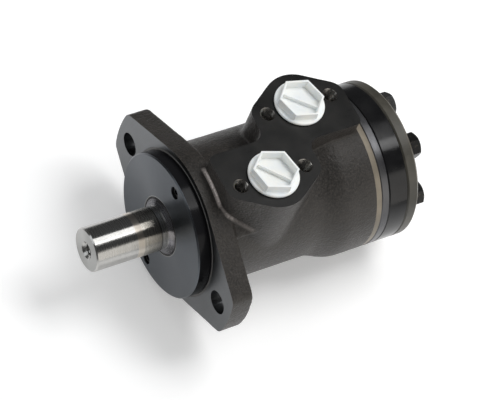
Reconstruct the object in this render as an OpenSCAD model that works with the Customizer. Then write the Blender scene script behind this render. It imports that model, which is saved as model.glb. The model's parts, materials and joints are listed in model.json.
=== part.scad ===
// Orbital (roller gerotor) hydraulic motor with a two-bolt flange, a parallel shaft and two side ports.
// The origin is the centre of the flange's mounting face, on the shaft's axis. The shaft points along -X
// and the end cover along +X. The flange's two holes lie along Y and the port face looks along +Z.

/* [Output shaft] */
// Diameter of the parallel output shaft
shaft_d = 25; // [22:0.5:28]
// Distance from the mounting face to the shaft's free end
shaft_reach = 53.5; // [45:0.5:60]
// Diameter of the polished seal journal behind the shaft
journal_d = 32; // [31.5:0.1:32.1]
// Thread minor diameter of the centre hole in the shaft's end
centre_hole_d = 6.8; // [6:0.1:7]

/* [Flange] */
// Diameter of the locating pilot on the front cover
pilot_d = 82.5; // [81:0.1:84]
// Height of the pilot above the mounting face
pilot_h = 8; // [7:0.1:9]
// Distance between the two flange holes
flange_pitch = 106.4; // [105:0.1:108]
// Diameter of the flange holes
flange_hole_d = 13.5; // [11:0.1:14]
// Thickness of the flange
flange_t = 13; // [11:0.5:15]
// Distance from the shaft's axis to the tip of each lug
lug_r = 65.5; // [64:0.1:67]

/* [Housing] */
// Radius of the neck between the flange and the rear body
neck_r = 40; // [39:0.1:41]
// Radius of the rear body, the plates and the end cover
body_r = 45.4; // [45:0.1:46]
// Distance from the mounting face to the housing's rear face
housing_l = 106.8; // [106:0.1:108]
// Height of the machined port face above the shaft's axis
port_face_z = 55.2; // [54:0.1:57]
// Distance from the mounting face to the centre of port A
port_a_x = 37.6; // [37:0.1:38]
// Distance from the mounting face to the centre of port B
port_b_x = 73.7; // [73:0.1:75]
// Sideways offset of each port from the shaft's axis
port_y = 18; // [17.5:0.1:18.5]
// Distance between the two manifold screw holes of one port
port_screw_pitch = 40; // [39:0.5:41]

/* [Gear set] */
// Thickness of the channel plate
plate_t = 5; // [4.5:0.1:6]
// Thickness of the gear ring, which sets the motor's displacement
ring_t = 12.3; // [11:0.1:14]
// Thickness of the end cover
cover_t = 7.65; // [7:0.05:9]
// Radius of the circle through the roller centres
roller_circle_r = 26.5; // [26.4:0.05:26.6]
// Radius of one roller
roller_r = 6; // [5.9:0.05:6.1]
// Distance between the rotor's axis and the motor's axis
eccentricity = 2.6; // [2.5:0.05:2.7]

/* [Fasteners and plugs] */
// Radius of the circle through the end cover bolts
bolt_circle_r = 33; // [32.8:0.1:33.5]
// Height of an end cover bolt's head
bolt_head_h = 7.1; // [5:0.1:8]
// Diameter of a port plug's flange
plug_flange_d = 28.5; // [28:0.5:29.5]
// Width across the corners of a port plug's hexagon
plug_hex_d = 26.4; // [24:0.1:27]

/* [Hidden] */
$fn = 96;
cut = 1; // overshoot of every cutting shape
run_gap = 0.05; // radial clearance of every running fit

// Positions along the shaft's axis
plate_x = housing_l;
ring_x = plate_x + plate_t;
cover_x = ring_x + ring_t;
rear_x = cover_x + cover_t;
spigot_x = 5; // front cover's spigot ends here
recess_x = 0.6; // depth of the recess that the front cover's foot sits in
shoulder_x = spigot_x + 4; // shaft shoulder behind the thrust bearing
spline_x = 38; // middle of the cardan shaft's front spline
spool_end_x = housing_l - 0.5;

// Height of the ports' seats
spot_face_h = 0.4;
spot_z = port_face_z - spot_face_h;

// Radii
shaft_r = shaft_d / 2;
journal_r = journal_d / 2;
pilot_r = pilot_d / 2;
foot_r = pilot_r + 1.15;
spool_r = 21;
spool_bore_r = 14.5;
spigot_r = 29.5;
race_outer_r = 26;
race_inner_r = 16.6;
screw_r = 34; // circle of the front cover's two screws
screw_pocket_r = 3.6;
screw_pocket_x = -3;
m4_r = 2;
m8_r = 4;
m8_clear_r = 4.3;
m8_tap_r = 3.4;
port_bore_r = 9.5;
port_bore_l = 14.6;
port_drill_r = 4.5;
port_drill_z = 7;
port_screw_l = 13;
spot_face_r = 14.8; // shallow round seat of a port's seal
passage_r = 1.9; // oil passages to the gear chambers
passage_circle_r = 25.3;
seal_groove_r = 39.4; // inner radius of the O-ring grooves in the rear stack
seal_groove_w = 2;
seal_groove_h = 1.3;

// Roller gear set: seven rollers, a rotor with one lobe fewer
roller_n = 7;
roller_step = 360 / roller_n;
first_roller = 90; // roller 1 stands at the top
first_bolt = first_roller + roller_step / 2;
rotor_gap = 0.07;
rotor_steps = 192;
rotor_crowding = 0.65; // draws the outline's points together in the valleys
side_gap = 0.06; // axial clearance of the rotor and rollers

// Cardan shaft: it leans so that its rear end follows the rotor's axis
cardan_span = ring_x + ring_t / 2 - spline_x;
cardan_l = sqrt(cardan_span * cardan_span + eccentricity * eccentricity);
cardan_tilt = asin(eccentricity / cardan_l);
spline_teeth = 12;
spline_bore_r = 10.4;
spline_root_r = 12.4;
spline_tip_r = 11.4;
spline_groove_w = 3.3;
spline_tooth_w = 2.3;

// Rear check valves, between the bolts
valve_ball_r = 2.5;
valve_a_angle = first_roller + roller_step;
valve_b_angle = first_roller - roller_step;
valve_seat_x = 97;
valve_seat_l = 3;
valve_ball_rise = 1.34; // ball centre above the seat's face, when it rests on the seat

// Port plugs
plug_flange_h = 1.6;
plug_hex_h = 4.6;
plug_wall = 1.5;
plug_web = 1.2;
plug_flat = plug_hex_d / 2 * cos(30);
plug_seal_h = 0.8;
plug_shank_l = 11;
plug_a_turn = 41;
plug_b_turn = 46;

// Drain port on the underside, clear of the oil passages
drain_x = 47;
drain_face_z = -40.8;
drain_boss_r = 11;
drain_bore_l = 14;

// ---- shared shapes ----

// Solid of revolution about the X axis from [x, radius] points
module turned(points) {
    rotate([0, 90, 0])
        rotate_extrude()
            polygon([for (p = points) [p[1], p[0]]]);
}

// Cylinder along X between two stations
module rod_x(x0, x1, r, fn = 96) {
    translate([x0, 0, 0])
        rotate([0, 90, 0])
            cylinder(h = x1 - x0, r = r, $fn = fn);
}

// Flat ring about the X axis with both outer edges bevelled
module disc_x(x0, x1, r, bevel) {
    turned([[x0, 0], [x0, r - bevel], [x0 + bevel, r], [x1 - bevel, r], [x1, r - bevel], [x1, 0]]);
}

// Washer about the X axis
module washer_x(x0, x1, r_in, r_out) {
    difference() {
        rod_x(x0, x1, r_out);
        rod_x(x0 - cut, x1 + cut, r_in);
    }
}

// Places children on a circle in the YZ plane, at an angle measured from +Y towards +Z
module at_angle(angle, r) {
    translate([0, r * cos(angle), r * sin(angle)])
        children();
}

// Turns a drawing in the YZ plane into a plate along X
module plate_x_of(x0, x1) {
    translate([x0, 0, 0])
        rotate([90, 0, 90])
            linear_extrude(height = x1 - x0)
                children();
}

// Round cord ring (an O-ring) about the X axis
module o_ring_x(x, ring_r, cord_r) {
    translate([x, 0, 0])
        rotate([0, 90, 0])
            rotate_extrude()
                translate([ring_r, 0])
                    circle(r = cord_r, $fn = 32);
}

// Points of an arc, both ends included
function arc(centre, r, a0, a1, n) =
    [for (i = [0 : n]) centre + r * [cos(a0 + (a1 - a0) * i / n), sin(a0 + (a1 - a0) * i / n)]];

function mirror_points(points, sy, sz) = [for (p = points) [p[0] * sy, p[1] * sz]];

function reversed(points) = [for (i = [len(points) - 1 : -1 : 0]) points[i]];

// ---- flange outline ----

// Straight edges lean 30 degrees and touch the round middle; the lug ends are arcs about the axis
edge_lean = 60; // direction of an edge's normal, from +Y
corner_r = 5.5;
corner_angle = edge_lean - acos((body_r - corner_r) / (lug_r - corner_r));
corner_centre = (lug_r - corner_r) * [cos(corner_angle), sin(corner_angle)];
lug_quarter = concat(
    arc([0, 0], lug_r, 0, corner_angle, 4),
    arc(corner_centre, corner_r, corner_angle + 12, edge_lean, 4),
    arc([0, 0], body_r, edge_lean, 90, 6));

module flange_outline() {
    polygon(concat(
        lug_quarter,
        reversed(mirror_points(lug_quarter, -1, 1)),
        mirror_points(lug_quarter, -1, -1),
        reversed(mirror_points(lug_quarter, 1, -1))));
}

// ---- port pad outline ----

lobe_r = 19.75;
lobe_end_r = 9;
lobe_half = port_screw_pitch / 2;
lobe_lean = acos((lobe_r - lobe_end_r) / lobe_half);
pad_mid_x = (port_a_x + port_b_x) / 2;
pad_front_x = port_a_x - lobe_half - lobe_end_r;
pad_waist_x = 2 * pad_mid_x - (port_a_x + lobe_half + lobe_end_r);
pad_edge_y = 4.3;
pad_corner_r = 4;
notch_r = 7;

// Half of the outline, from the waist's notch forwards and round port A; the rest is the same
// half turned about the pad's middle
pad_half = concat(
    arc([pad_waist_x - notch_r, pad_edge_y + notch_r], notch_r, 0, -90, 8),
    arc([pad_front_x + pad_corner_r, pad_edge_y - pad_corner_r], pad_corner_r, 90, 180, 6),
    arc([port_a_x - lobe_half, -port_y], lobe_end_r, 180, 180 + lobe_lean, 6),
    arc([port_a_x, -port_y], lobe_r, 180 + lobe_lean, 360 - lobe_lean, 12),
    arc([port_a_x + lobe_half, -port_y], lobe_end_r, 360 - lobe_lean, 360, 6));

module pad_outline() {
    polygon(concat(pad_half, [for (p = pad_half) [2 * pad_mid_x - p[0], -p[1]]]));
}

// ---- housing ----

bulge_x0 = 68;
bulge_x1 = 88;
bulge_steps = 10;
bulge = [for (i = [0 : bulge_steps])
    [bulge_x0 + (bulge_x1 - bulge_x0) * i / bulge_steps,
     neck_r + (body_r - neck_r) * (1 - cos(180 * i / bulge_steps)) / 2]];

module housing_casting() {
    plate_x_of(0, flange_t)
        flange_outline();
    turned(concat(
        [[0, 0], [0, neck_r]],
        bulge,
        [[housing_l - 0.5, body_r], [housing_l, body_r - 0.5], [housing_l, 0]]));
    linear_extrude(height = port_face_z)
        pad_outline();
    translate([drain_x, 0, drain_face_z])
        cylinder(h = -drain_face_z, r = drain_boss_r);
}

// Tapped hole with a bevelled mouth, straight down from height z
module tapped_hole(x, y, z, r, depth, bevel) {
    translate([x, y, z - depth])
        cylinder(h = depth + cut, r = r);
    translate([x, y, z - bevel])
        cylinder(h = bevel + cut, r1 = r, r2 = r + bevel + cut);
}

// One port: its seal's seat, its bore, the drilling to the spool and the two manifold screw holes
module port_cuts(x, y) {
    translate([x, y, spot_z])
        cylinder(h = spot_face_h + cut, r = spot_face_r);
    tapped_hole(x, y, spot_z, port_bore_r, port_bore_l, 1);
    translate([x, y, port_drill_z])
        cylinder(h = spot_z - port_drill_z, r = port_drill_r);
    for (side = [-1, 1])
        tapped_hole(x + side * lobe_half, y, port_face_z, m8_tap_r, port_screw_l, 0.5);
}

module housing() {
    color([0.24, 0.23, 0.22])
        difference() {
            housing_casting();
            rod_x(-cut, recess_x, foot_r + run_gap);
            rod_x(-cut, spigot_x, spigot_r + run_gap);
            rod_x(-cut, shoulder_x, race_outer_r + 1);
            rod_x(-cut, housing_l + cut, spool_r + run_gap);
            for (side = [-1, 1]) {
                at_angle(90 + side * 90, flange_pitch / 2)
                    rod_x(-cut, flange_t + cut, flange_hole_d / 2);
                at_angle(side * 90, screw_r)
                    rod_x(-cut, 12, m4_r + run_gap, 32);
            }
            port_cuts(port_a_x, -port_y);
            port_cuts(port_b_x, port_y);
            for (i = [0 : roller_n - 1]) {
                at_angle(first_bolt + i * roller_step, bolt_circle_r)
                    rod_x(94, housing_l + cut, m8_r + run_gap, 48);
                at_angle(first_bolt + i * roller_step, passage_circle_r)
                    rod_x(55.6, housing_l + cut, passage_r, 32);
                rotate([first_bolt + i * roller_step, 0, 0])
                    translate([52, spool_r - cut, -1.4])
                        cube([7.2, passage_circle_r - spool_r + cut, 2.8]);
            }
            for (angle = [valve_a_angle, valve_b_angle])
                at_angle(angle, bolt_circle_r) {
                    rod_x(valve_seat_x, housing_l + cut, valve_ball_r + run_gap + 0.25, 48);
                    rod_x(valve_seat_x - 6, housing_l, 1.2, 32);
                }
            washer_x(housing_l - seal_groove_h, housing_l + cut, seal_groove_r,
                seal_groove_r + seal_groove_w);
            translate([drain_x, 0, drain_face_z - cut])
                cylinder(h = drain_bore_l + cut, r = 5.9, $fn = 48);
            translate([drain_x, 0, drain_face_z])
                cylinder(h = -drain_face_z, r = 2, $fn = 32);
        }
}

// ---- front end ----

module front_cover() {
    color([0.30, 0.31, 0.33])
        difference() {
            turned([[-pilot_h, 0], [-pilot_h, pilot_r - 0.7], [0.7 - pilot_h, pilot_r],
                [-1.2, pilot_r], [-1, pilot_r - 0.5], [-0.6, pilot_r - 0.5], [-0.4, pilot_r],
                [0.1, pilot_r], [0.1, foot_r], [recess_x, foot_r], [recess_x, spigot_r],
                [spigot_x, spigot_r], [spigot_x, 0]]);
            rod_x(-pilot_h - cut, -4, journal_r + 1);
            rod_x(-pilot_h + 1.2, -4.4, 19.5);
            rod_x(-pilot_h, spigot_x + cut, journal_r + 0.4);
            rod_x(-3.5, spigot_x + cut, 22.5);
            washer_x(1.4, 3.4, spigot_r - 1.6, spigot_r + cut);
            for (side = [-1, 1])
                at_angle(side * 90, screw_r) {
                    rod_x(-pilot_h - cut, screw_pocket_x, screw_pocket_r, 48);
                    rod_x(screw_pocket_x - cut, recess_x + cut, m4_r + 0.2, 32);
                }
        }
}

// Two socket head screws that hold the front cover to the housing
module front_cover_screws() {
    color([0.16, 0.16, 0.17])
        for (side = [-1, 1])
            at_angle(side * 90, screw_r)
                difference() {
                    union() {
                        turned([[-6.8, 0], [-6.8, 3.1], [-6.4, 3.5], [screw_pocket_x, 3.5],
                            [screw_pocket_x, 0]]);
                        rod_x(screw_pocket_x - 0.2, 11, m4_r, 32);
                    }
                    rotate([0, 90, 0])
                        translate([0, 0, -6.8 - cut])
                            cylinder(h = 2.2 + cut, r = 1.75, $fn = 6);
                }
}

module dust_seal() {
    color([0.06, 0.06, 0.06])
        turned([[-7.4, journal_r + run_gap], [-7.6, journal_r + 0.9], [-6.8, journal_r + 0.9],
            [-6.7, 19.4], [-4.5, 19.4], [-4.5, journal_r + 1.3], [-6, journal_r + 1.1],
            [-6.6, journal_r + run_gap]]);
}

module shaft_seal() {
    color([0.08, 0.08, 0.09])
        turned([[-3.3, journal_r + 0.9], [-3.3, 22.4], [2.8, 22.4], [2.8, 20.4], [-1.6, 20.2],
            [-1.2, journal_r + 1.6], [1.6, journal_r + 1.4], [1.2, journal_r + run_gap],
            [0.6, journal_r + run_gap]]);
}

// Flat ring that backs the shaft seal
module seal_washer() {
    color([0.55, 0.55, 0.57])
        washer_x(3, spigot_x, journal_r + 0.4, 22.4);
}

module front_cover_o_ring() {
    color([0.07, 0.07, 0.07])
        o_ring_x(2.4, spigot_r - 0.78, 0.75);
}

module thrust_race_front() {
    color([0.72, 0.72, 0.74])
        washer_x(spigot_x, spigot_x + 1, race_inner_r, race_outer_r);
}

needle_n = 24;
needle_r = 0.95;
needle_l = 6.6;
needle_mid_r = 21.8;

module thrust_cage() {
    color([0.62, 0.52, 0.30])
        difference() {
            washer_x(spigot_x + 1.4, spigot_x + 2.6, race_inner_r + 0.4, race_outer_r - 0.2);
            for (i = [0 : needle_n - 1])
                rotate([360 * i / needle_n, 0, 0])
                    translate([spigot_x, needle_mid_r - needle_l / 2 - 0.15, -needle_r - 0.1])
                        cube([4, needle_l + 0.3, 2 * needle_r + 0.2]);
        }
}

module thrust_needles() {
    color([0.80, 0.80, 0.82])
        for (i = [0 : needle_n - 1])
            rotate([360 * i / needle_n, 0, 0])
                translate([spigot_x + 2, needle_mid_r - needle_l / 2, 0])
                    rotate([-90, 0, 0])
                        cylinder(h = needle_l, r = needle_r, $fn = 16);
}

module thrust_race_rear() {
    color([0.72, 0.72, 0.74])
        washer_x(spigot_x + 3, shoulder_x, race_inner_r, race_outer_r);
}

// ---- turning parts ----

// Ring of teeth that leave twelve straight grooves in a bore
module inner_spline(x0, x1) {
    rod_x(x0, x1, spline_bore_r);
    for (i = [0 : spline_teeth - 1])
        rotate([360 * i / spline_teeth, 0, 0])
            translate([x0, 0, -spline_groove_w / 2])
                cube([x1 - x0, spline_root_r, spline_groove_w]);
}

// Teeth of the cardan shaft, with clearance for its lean
module outer_spline(x0, x1) {
    turned([[x0, 0], [x0, 8.8], [x0 + 0.8, 9.6], [x1 - 0.8, 9.6], [x1, 8.8], [x1, 0]]);
    intersection() {
        turned([[x0, 0], [x0, 9.4], [x0 + 1.6, spline_tip_r], [x1 - 1.6, spline_tip_r], [x1, 9.4],
            [x1, 0]]);
        for (i = [0 : spline_teeth - 1])
            rotate([360 * i / spline_teeth, 0, 0])
                translate([x0, 0, -spline_tooth_w / 2])
                    cube([x1 - x0, spline_tip_r + cut, spline_tooth_w]);
    }
}

spool_groove_w = 9;
spool_groove_r = 18.6;
spool_slots = 12;
spool_slot_l = 15;
shaft_bevel = 0.7;
collar_x = -9.8; // from here a short cone runs up to the seal journal

// Output shaft and distributor spool in one piece
module output_shaft() {
    shaft_steps = concat(
        [[-shaft_reach, 0], [-shaft_reach, shaft_r - shaft_bevel], [shaft_bevel - shaft_reach, shaft_r]],
        [[collar_x, shaft_r], [collar_x + 0.4, shaft_r + 0.4], [collar_x + 1.6, journal_r - 0.3],
         [collar_x + 1.9, journal_r]],
        [[shoulder_x, journal_r], [shoulder_x, spool_r - 0.4], [shoulder_x + 0.4, spool_r],
         [spool_end_x - 0.5, spool_r], [spool_end_x, spool_r - 0.5], [spool_end_x, 0]]);
    color([0.78, 0.78, 0.77])
        difference() {
            turned(shaft_steps);
            rod_x(-shaft_reach - cut, 20 - shaft_reach, centre_hole_d / 2, 48);
            turned([[-shaft_reach - cut, 0], [-shaft_reach - cut, 5.25 + cut],
                [1.85 - shaft_reach, centre_hole_d / 2], [1.85 - shaft_reach, 0]]);
            rod_x(50, spool_end_x + cut, spool_bore_r);
            rod_x(27, 51, spline_bore_r);
            inner_spline(29, 51);
            for (x = [port_a_x, port_b_x])
                washer_x(x - spool_groove_w / 2, x + spool_groove_w / 2, spool_groove_r, spool_r + cut);
            for (i = [0 : spool_slots - 1])
                rotate([360 * (i + 0.5) / spool_slots, 0, 0])
                    translate([i % 2 == 0 ? port_a_x : port_b_x - spool_slot_l, spool_groove_r + 0.6, -1.6])
                        cube([spool_slot_l, 4, 3.2]);
        }
}

module cardan_shaft() {
    color([0.50, 0.50, 0.52])
        translate([spline_x, 0, 0])
            rotate([0, -cardan_tilt, 0]) {
                outer_spline(-8, 8);
                rod_x(0, cardan_l, 8.2);
                outer_spline(cardan_l - 5.9, cardan_l + 3.6);
            }
}

// ---- roller gear set ----

// Centre path of a roller seen from the turning rotor, moved in by the roller's radius
function roller_path(u) =
    roller_circle_r * [cos(u), sin(u)] - eccentricity * [cos(7 * u), sin(7 * u)];
function path_slope(u) =
    roller_circle_r * [-sin(u), cos(u)] - 7 * eccentricity * [-sin(7 * u), cos(7 * u)];
function rotor_point(u) =
    roller_path(u) - (roller_r + rotor_gap) * [path_slope(u)[1], -path_slope(u)[0]] / norm(path_slope(u));

function crowded(u) = u - rotor_crowding * sin(6 * u) * 180 / PI / 6;

rotor_outline = [for (i = [0 : rotor_steps - 1]) rotor_point(crowded(360 * i / rotor_steps))];

module rotor() {
    color([0.60, 0.60, 0.62])
        translate([0, 0, eccentricity])
            difference() {
                plate_x_of(ring_x + side_gap, cover_x - side_gap)
                    rotate(first_roller)
                        polygon(rotor_outline);
                inner_spline(ring_x - cut, cover_x + cut);
            }
}

module roller(i) {
    color([0.75, 0.75, 0.77])
        at_angle(first_roller + (i - 1) * roller_step, roller_circle_r)
            disc_x(ring_x + side_gap, cover_x - side_gap, roller_r, 0.3);
}

// Small disc that keeps the cardan shaft off the end cover
module cardan_spacer() {
    color([0.55, 0.55, 0.57])
        translate([0, 0, eccentricity])
            rod_x(cover_x - 2, cover_x - side_gap, 9.5);
}

module bolt_holes(x0, x1) {
    for (i = [0 : roller_n - 1])
        at_angle(first_bolt + i * roller_step, bolt_circle_r)
            rod_x(x0 - cut, x1 + cut, m8_clear_r, 48);
}

module seal_groove(x0, x1) {
    washer_x(x0, x1, seal_groove_r, seal_groove_r + seal_groove_w);
}

module channel_plate() {
    color([0.36, 0.36, 0.37])
        difference() {
            disc_x(plate_x, ring_x, body_r, 0.5);
            rod_x(plate_x - cut, ring_x + cut, 15.5);
            bolt_holes(plate_x, ring_x);
            for (i = [0 : roller_n - 1])
                at_angle(first_bolt + i * roller_step, passage_circle_r - 1)
                    rod_x(plate_x - cut, ring_x + cut, passage_r + 0.5, 32);
            for (angle = [valve_a_angle, valve_b_angle])
                at_angle(angle, bolt_circle_r)
                    rod_x(plate_x - cut, plate_x + 2, 1.5, 32);
            seal_groove(ring_x - seal_groove_h, ring_x + cut);
        }
}

module gear_ring() {
    color([0.09, 0.09, 0.09])
        difference() {
            disc_x(ring_x, cover_x, body_r, 0.6);
            rod_x(ring_x - cut, cover_x + cut, roller_circle_r - 0.3);
            bolt_holes(ring_x, cover_x);
            for (i = [0 : roller_n - 1])
                at_angle(first_roller + i * roller_step, roller_circle_r)
                    rod_x(ring_x - cut, cover_x + cut, roller_r + 0.06);
        }
}

module end_cover() {
    color([0.30, 0.29, 0.26])
        difference() {
            turned([[cover_x, 0], [cover_x, body_r - 1], [cover_x + 1, body_r], [rear_x - 1.6, body_r],
                [rear_x, body_r - 1.6], [rear_x, 0]]);
            rod_x(cover_x - cut, cover_x + 1, 14);
            bolt_holes(cover_x, rear_x);
            seal_groove(cover_x - cut, cover_x + seal_groove_h);
        }
}

module stack_o_ring(x) {
    color([0.07, 0.07, 0.07])
        o_ring_x(x, seal_groove_r + seal_groove_w / 2, 0.62);
}

module housing_o_ring() {
    stack_o_ring(housing_l - 0.65);
}

module plate_o_ring() {
    stack_o_ring(ring_x - 0.65);
}

module cover_o_ring() {
    stack_o_ring(cover_x + 0.65);
}

washer_t = 1.65;
head_x = rear_x + washer_t;

// Seven hexagon head bolts through the rear stack
module end_cover_bolts() {
    color([0.10, 0.10, 0.10])
        for (i = [0 : roller_n - 1])
            at_angle(first_bolt + i * roller_step, bolt_circle_r) {
                intersection() {
                    translate([head_x, 0, 0])
                        rotate([10 + 17 * i, 0, 0])
                            rotate([0, 90, 0])
                                cylinder(h = bolt_head_h, r = 7.5, $fn = 6);
                    turned([[head_x, 0], [head_x, 8], [head_x + bolt_head_h - 1, 7.9],
                        [head_x + bolt_head_h, 6.2], [head_x + bolt_head_h, 0]]);
                }
                turned([[95.5, 0], [95.5, m8_r - 0.8], [96.3, m8_r], [head_x, m8_r], [head_x, 0]]);
            }
}

module bolt_washers() {
    color([0.72, 0.56, 0.28])
        for (i = [0 : roller_n - 1])
            at_angle(first_bolt + i * roller_step, bolt_circle_r)
                washer_x(rear_x, head_x, m8_clear_r, 8);
}

// ---- check valves ----

module check_ball(angle) {
    color([0.80, 0.80, 0.82])
        at_angle(angle, bolt_circle_r)
            translate([valve_seat_x + valve_seat_l + valve_ball_rise, 0, 0])
                sphere(r = valve_ball_r, $fn = 48);
}

module check_valve_seats() {
    color([0.66, 0.58, 0.36])
        for (angle = [valve_a_angle, valve_b_angle])
            at_angle(angle, bolt_circle_r)
                difference() {
                    rod_x(valve_seat_x, valve_seat_x + valve_seat_l, valve_ball_r + 0.25, 48);
                    rod_x(valve_seat_x - cut, valve_seat_x + valve_seat_l + cut, 1.3, 32);
                    turned([[valve_seat_x + valve_seat_l - 1, 0], [valve_seat_x + valve_seat_l - 1, 1.3],
                        [valve_seat_x + valve_seat_l, 2.2], [valve_seat_x + valve_seat_l + cut, 2.2],
                        [valve_seat_x + valve_seat_l + cut, 0]]);
                }
}

// ---- plugs ----

plug_z = spot_z + plug_seal_h;
hex_z = plug_z + plug_flange_h;

// Moulded transport plug: hollow hexagon with a web across it, flange and hollow shank
module port_plug(x, y, turn) {
    color([0.94, 0.95, 0.95])
        translate([x, y, 0])
            rotate([0, 0, turn]) {
                difference() {
                    union() {
                        translate([0, 0, plug_z])
                            cylinder(h = plug_flange_h - 0.4, r = plug_flange_d / 2);
                        translate([0, 0, hex_z - 0.4])
                            cylinder(h = 0.4, r1 = plug_flange_d / 2, r2 = plug_flange_d / 2 - 0.4);
                        translate([0, 0, hex_z - cut])
                            cylinder(h = plug_hex_h + cut, r = plug_hex_d / 2, $fn = 6);
                        translate([0, 0, spot_z - plug_shank_l])
                            cylinder(h = plug_shank_l + plug_seal_h + cut, r = port_bore_r - 0.15);
                    }
                    translate([0, 0, hex_z - 0.6])
                        cylinder(h = plug_hex_h + cut, r = plug_hex_d / 2 - plug_wall / cos(30), $fn = 6);
                    translate([0, 0, spot_z - plug_shank_l - cut])
                        cylinder(h = plug_shank_l + cut, r = port_bore_r - 1.6);
                }
                translate([-plug_web / 2, plug_wall / 2 - plug_flat, hex_z - 0.6])
                    cube([plug_web, 2 * plug_flat - plug_wall, plug_hex_h * 0.55]);
            }
}

module port_seal(x, y) {
    color([0.90, 0.90, 0.89])
        translate([x, y, spot_z])
            difference() {
                cylinder(h = plug_seal_h, r = plug_flange_d / 2 - 1.2);
                translate([0, 0, -cut])
                    cylinder(h = plug_seal_h + 2 * cut, r = port_bore_r + 0.2);
            }
}

drain_washer_t = 1.5;

module drain_plug() {
    color([0.35, 0.35, 0.36])
        translate([drain_x, 0, drain_face_z])
            rotate([180, 0, 0])
                difference() {
                    union() {
                        translate([0, 0, drain_washer_t])
                            cylinder(h = 3, r = 8.8, $fn = 64);
                        translate([0, 0, -9])
                            cylinder(h = 9 + drain_washer_t, r = 5.85, $fn = 48);
                    }
                    translate([0, 0, -1])
                        cylinder(h = 10, r = 3.45, $fn = 6);
                }
}

module drain_plug_washer() {
    color([0.72, 0.46, 0.30])
        translate([drain_x, 0, drain_face_z])
            rotate([180, 0, 0])
                difference() {
                    cylinder(h = drain_washer_t, r = 9.2, $fn = 64);
                    translate([0, 0, -cut])
                        cylinder(h = drain_washer_t + 2 * cut, r = 6.2, $fn = 48);
                }
}

housing();
front_cover();
front_cover_screws();
dust_seal();
shaft_seal();
seal_washer();
front_cover_o_ring();
thrust_race_front();
thrust_cage();
thrust_needles();
thrust_race_rear();
output_shaft();
cardan_shaft();
housing_o_ring();
channel_plate();
plate_o_ring();
gear_ring();
rotor();
roller(1);  // roller_1
roller(2);  // roller_2
roller(3);  // roller_3
roller(4);  // roller_4
roller(5);  // roller_5
roller(6);  // roller_6
roller(7);  // roller_7
cardan_spacer();
cover_o_ring();
end_cover();
end_cover_bolts();
bolt_washers();
check_ball(valve_a_angle);  // check_ball_a
check_ball(valve_b_angle);  // check_ball_b
check_valve_seats();
port_plug(port_a_x, -port_y, plug_a_turn);  // port_plug_a
port_seal(port_a_x, -port_y);  // port_seal_a
port_plug(port_b_x, port_y, plug_b_turn);  // port_plug_b
port_seal(port_b_x, port_y);  // port_seal_b
drain_plug();
drain_plug_washer();
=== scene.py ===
"""Looks of the hydraulic motor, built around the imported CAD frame. All lengths are in metres."""
import json
import math

import bpy
import numpy as np
from mathutils import Matrix, Vector, noise


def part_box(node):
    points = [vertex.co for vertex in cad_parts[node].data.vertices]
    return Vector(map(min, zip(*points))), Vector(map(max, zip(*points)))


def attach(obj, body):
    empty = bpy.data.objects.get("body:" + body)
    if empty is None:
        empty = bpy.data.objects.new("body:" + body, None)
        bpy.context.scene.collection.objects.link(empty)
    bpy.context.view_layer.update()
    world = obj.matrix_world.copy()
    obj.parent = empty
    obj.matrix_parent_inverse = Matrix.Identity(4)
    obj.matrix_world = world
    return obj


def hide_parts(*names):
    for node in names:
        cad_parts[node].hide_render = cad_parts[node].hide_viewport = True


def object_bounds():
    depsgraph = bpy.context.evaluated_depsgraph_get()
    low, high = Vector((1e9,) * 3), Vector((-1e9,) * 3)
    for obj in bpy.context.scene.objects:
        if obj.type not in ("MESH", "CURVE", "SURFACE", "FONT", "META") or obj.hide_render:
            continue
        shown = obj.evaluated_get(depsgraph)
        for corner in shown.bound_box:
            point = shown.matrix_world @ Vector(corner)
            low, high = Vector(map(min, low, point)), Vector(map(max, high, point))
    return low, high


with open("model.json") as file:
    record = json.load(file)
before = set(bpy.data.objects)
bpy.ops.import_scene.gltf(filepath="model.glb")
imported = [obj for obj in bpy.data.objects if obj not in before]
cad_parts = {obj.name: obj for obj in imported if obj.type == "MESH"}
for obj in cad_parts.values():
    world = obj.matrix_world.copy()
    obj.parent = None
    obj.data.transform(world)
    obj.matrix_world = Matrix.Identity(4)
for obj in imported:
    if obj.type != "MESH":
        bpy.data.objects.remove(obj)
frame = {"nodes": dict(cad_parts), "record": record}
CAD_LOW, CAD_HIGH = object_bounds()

MM = 0.001

# ---------------------------------------------------------------- sizes taken from the frame

MOUNTS = {m["name"]: m for m in frame["record"]["mounts"]}


def mount_at(name):
    return Vector(MOUNTS[name]["pos_m"])


def mount_mm(name, key):
    return MOUNTS[name]["dims"][key] * MM


HOUSING_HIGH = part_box("housing")[1]
COVER_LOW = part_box("front_cover")[0]
PLATE_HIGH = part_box("channel_plate")[1]
SHAFT_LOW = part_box("output_shaft")[0]
WASHERS_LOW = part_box("bolt_washers")[0]

BODY_R = PLATE_HIGH.z
HOUSING_L = HOUSING_HIGH.x
PORT_Z = HOUSING_HIGH.z
LUG_R = HOUSING_HIGH.y
PORTS = {"a": mount_at("port_a"), "b": mount_at("port_b")}
SCREW_PITCH = mount_mm("port_a_screws", "spacing_x_mm")
SCREW_R = mount_mm("port_a_screws", "hole_r_mm")
FLANGE_PITCH = mount_mm("flange_holes", "spacing_x_mm")
FLANGE_HOLE_R = mount_mm("flange_holes", "hole_r_mm")
CENTRE_HOLE_R = mount_mm("shaft_end_thread", "r_mm")
DRAIN = mount_at("drain_port")

# ---------------------------------------------------------------- sizes the frame doesn't hold

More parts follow.
